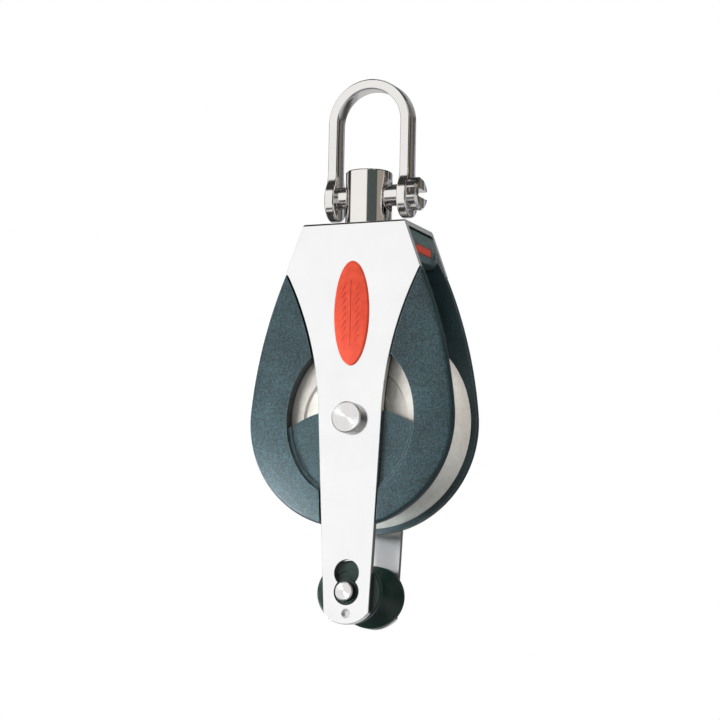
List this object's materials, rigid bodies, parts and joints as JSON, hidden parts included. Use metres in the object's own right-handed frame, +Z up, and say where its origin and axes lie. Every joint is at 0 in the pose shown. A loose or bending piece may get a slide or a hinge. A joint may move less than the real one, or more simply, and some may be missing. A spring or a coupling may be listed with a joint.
{
  "type": "single sheave block",
  "caption": "Swivel-head boat block: a steel strap over dark oval cheeks, a pale grooved sheave on ball bearings, a bow shackle on top and a becket thimble below.",
  "frame": {"origin": "centre of the sheave, on its axis midway between the cheeks", "axes": "+Y along the sheave's axis from the front leg of the strap to the back leg, +Z up to the shackle, +X across the block towards the shackle pin's head"},
  "size_m": [0.063, 0.0282, 0.1609],
  "materials": {
    "shackle_steel": "forged stainless steel, polished and lightly worn",
    "post_steel": "turned and polished stainless steel",
    "strap_steel": "satin-polished stainless steel plate",
    "pin_steel": "turned stainless steel with fine face marks",
    "bearing_steel": "ground bearing steel",
    "bearing_plastic": "plain bearing plastic",
    "block_plastic": "moulded black plastic",
    "cheek_plastic": "fibre-filled dark blue-grey plastic with a fine grain",
    "thimble_plastic": "smooth black plastic",
    "sheave_plastic": "smooth off-white acetal",
    "key_red": "moulded red plastic",
    "badge_red": "smooth red-orange plastic"
  },
  "bodies": {
    "shackle": {"shackle_bow": "shackle_steel"},
    "shackle_pin": {"shackle_pin": "shackle_steel"},
    "post": {"swivel_post": "post_steel"},
    "frame": {"swivel_thrust_washer": "bearing_plastic", "pilot_bush": "bearing_plastic", "strap": "strap_steel", "head_block": "block_plastic", "front_cheek": "cheek_plastic", "back_cheek": "cheek_plastic", "front_badge": "badge_red", "back_badge": "badge_red", "sheave_pin": "pin_steel", "rear_pin_cap": "pin_steel", "inner_race": "bearing_steel", "front_race_cap": "bearing_plastic", "back_race_cap": "bearing_plastic", "becket_thimble": "thimble_plastic", "thimble_key_pins": "pin_steel"},
    "sheave": {"sheave": "sheave_plastic"},
    "balls": {"front_ball_row": "bearing_steel", "back_ball_row": "bearing_steel", "ball_spacer": "bearing_plastic"},
    "lock_key": {"lock_key": "key_red"},
    "becket_pin": {"becket_pin": "pin_steel"}
  },
  "joints": [
    {"name": "shackle_pin_draw", "type": "slide", "parent": "shackle", "child": "shackle_pin", "axis": [1, 0, 0], "range_m": [0, 0.0262]},
    {"name": "shackle_swing", "type": "hinge", "parent": "shackle", "child": "post", "pos_m": [0, 0, 0.0669], "axis": [1, 0, 0], "range_deg": [-105, 105]},
    {"name": "head_swivel", "type": "hinge", "parent": "post", "child": "frame", "pos_m": [0, 0, 0.06], "axis": [0, 0, 1], "continuous": true},
    {"name": "sheave_spin", "type": "hinge", "parent": "frame", "child": "sheave", "pos_m": [0, 0, 0], "axis": [0, 1, 0], "continuous": true},
    {"name": "ball_roll", "type": "hinge", "parent": "frame", "child": "balls", "pos_m": [0, 0, 0], "axis": [0, 1, 0], "continuous": true},
    {"name": "lock_slide", "type": "slide", "parent": "frame", "child": "lock_key", "axis": [-1, 0, 0], "range_m": [0, 0.004]},
    {"name": "becket_pin_draw", "type": "slide", "parent": "frame", "child": "becket_pin", "axis": [0, -1, 0], "range_m": [0, 0.0266]}
  ],
  "couplings": [
    {"joint": "ball_roll", "follows": "sheave_spin", "ratio": 0.6131}
  ]
}
